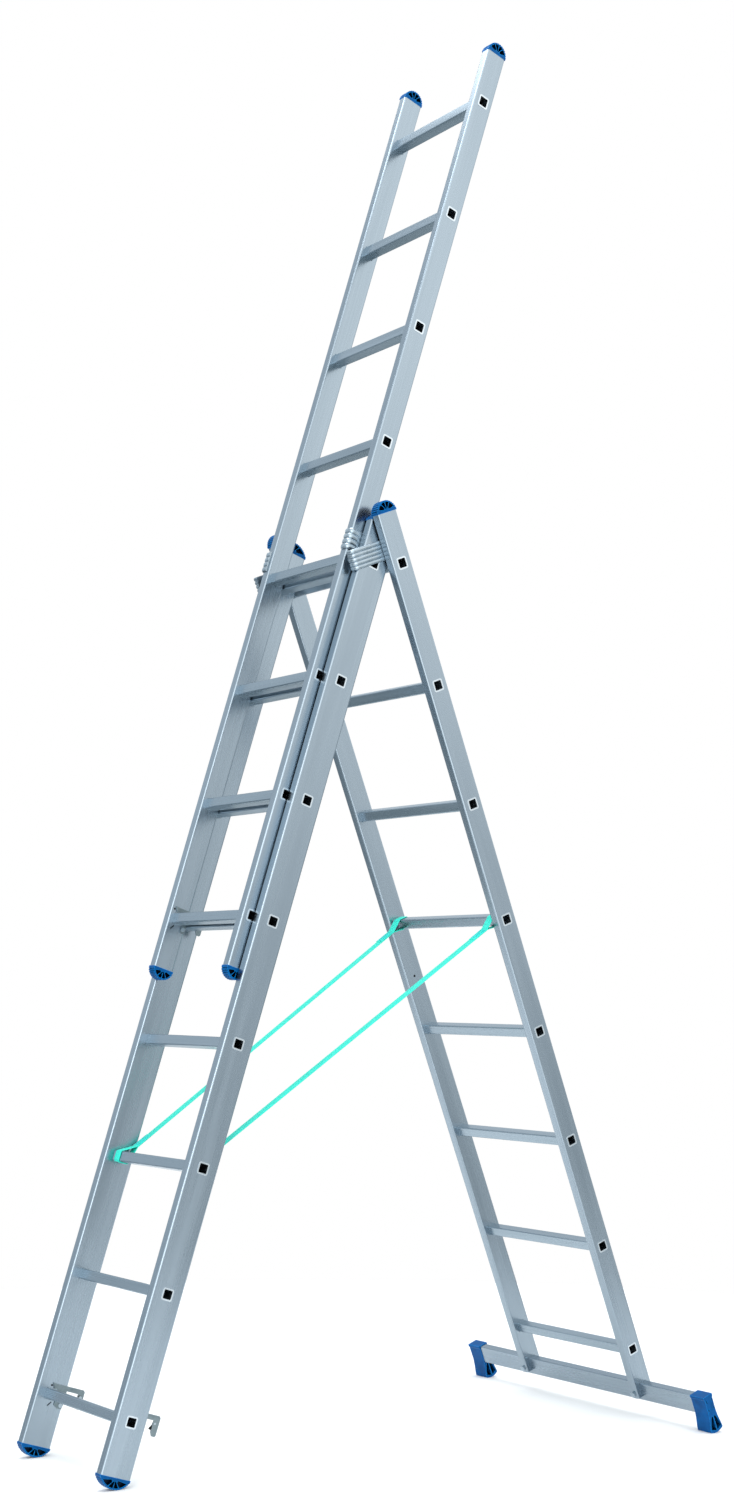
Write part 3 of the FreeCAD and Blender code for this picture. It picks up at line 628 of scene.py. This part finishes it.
def world():
    """White to the eye, and to the metal a studio that is bright overhead and dim at the sides."""
    background = bpy.data.worlds.new("studio")
    bpy.context.scene.world = background
    background.use_nodes = True
    tree = background.node_tree
    tree.nodes.clear()
    make = tree.nodes.new
    direction = make("ShaderNodeTexCoord")
    parts = make("ShaderNodeSeparateXYZ")
    tree.links.new(direction.outputs["Generated"], parts.inputs[0])

    def ramp(value, low, high, stops):
        fit = make("ShaderNodeMapRange")
        fit.inputs["From Min"].default_value, fit.inputs["From Max"].default_value = low, high
        tree.links.new(value, fit.inputs["Value"])
        node = make("ShaderNodeValToRGB")
        points = node.color_ramp.elements
        while len(points) < len(stops):
            points.new(0.5)
        for point, (at, colour) in zip(points, stops):
            point.position, point.color = at, (*colour, 1.0)
        tree.links.new(fit.outputs[0], node.inputs["Fac"])
        return node.outputs["Color"]

    height = ramp(parts.outputs[2], -1.0, 1.0, [
        (0.30, (0.80, 0.84, 0.82)), (0.45, (0.56, 0.60, 0.62)), (0.50, (0.80, 0.84, 0.86)),
        (0.55, (1.16, 1.17, 1.17)), (0.63, (1.72, 1.70, 1.66)), (1.0, (1.25, 1.25, 1.25))])
    side = ramp(parts.outputs[0], -1.0, 1.0, [
        (0.1, (0.50, 0.55, 0.60)), (0.5, (0.66, 0.70, 0.74)), (0.80, (1.0, 1.0, 1.0))])
    product = make("ShaderNodeMix")
    product.data_type, product.blend_type = "RGBA", "MULTIPLY"
    product.inputs["Factor"].default_value = 1.0
    tree.links.new(height, product.inputs[6])
    tree.links.new(side, product.inputs[7])
    # a broad bright screen on the camera's side, which the rounded corners of the stiles pick up
    facing = make("ShaderNodeVectorMath")
    facing.operation = "DOT_PRODUCT"
    facing.inputs[1].default_value = (0.83, -0.55, 0.05)
    tree.links.new(direction.outputs["Generated"], facing.inputs[0])
    screen = make("ShaderNodeMapRange")
    screen.inputs["From Min"].default_value, screen.inputs["From Max"].default_value = 0.68, 0.80
    tree.links.new(facing.outputs["Value"], screen.inputs["Value"])
    lit = make("ShaderNodeMix")
    lit.data_type = "RGBA"
    tree.links.new(screen.outputs[0], lit.inputs["Factor"])
    tree.links.new(product.outputs[2], lit.inputs[6])
    lit.inputs[7].default_value = (2.2, 2.2, 2.18, 1.0)
    seen = make("ShaderNodeLightPath")
    choice = make("ShaderNodeMix")
    choice.data_type = "RGBA"
    tree.links.new(seen.outputs["Is Camera Ray"], choice.inputs["Factor"])
    tree.links.new(lit.outputs[2], choice.inputs[6])
    choice.inputs[7].default_value = (1.0, 1.0, 1.0, 1.0)
    shade = make("ShaderNodeBackground")
    tree.links.new(choice.outputs[2], shade.inputs["Color"])
    output = make("ShaderNodeOutputWorld")
    tree.links.new(shade.outputs[0], output.inputs["Surface"])


def camera():
    data = bpy.data.cameras.new("camera")
    data.sensor_fit = "AUTO"
    data.sensor_width = 36.0
    data.lens = 52.385
    data.shift_y = 0.25
    data.clip_end = 100.0
    view = bpy.data.objects.new("camera", data)
    bpy.context.scene.collection.objects.link(view)
    yaw, pitch, roll = math.radians(55.680), math.radians(-3.720), math.radians(0.204)
    view.location = (4.2585, -2.8592, 1.0710)
    view.matrix_world = (Matrix.Translation(view.location) @ Matrix.Rotation(yaw, 4, "Z")
                         @ Matrix.Rotation(math.pi / 2 + pitch, 4, "X") @ Matrix.Rotation(roll, 4, "Z"))
    bpy.context.scene.camera = view


floor()
world()
area_light("overhead", (-0.6, -0.6, 6.0), (0, 0, 0.0), (3.5, 3.5), 190)
area_light("front_softbox", (3.4, -3.9, 2.6), (0, -0.2, 1.4), (0.5, 3.2), 40)
camera()
bpy.context.scene.view_settings.view_transform = "Standard"
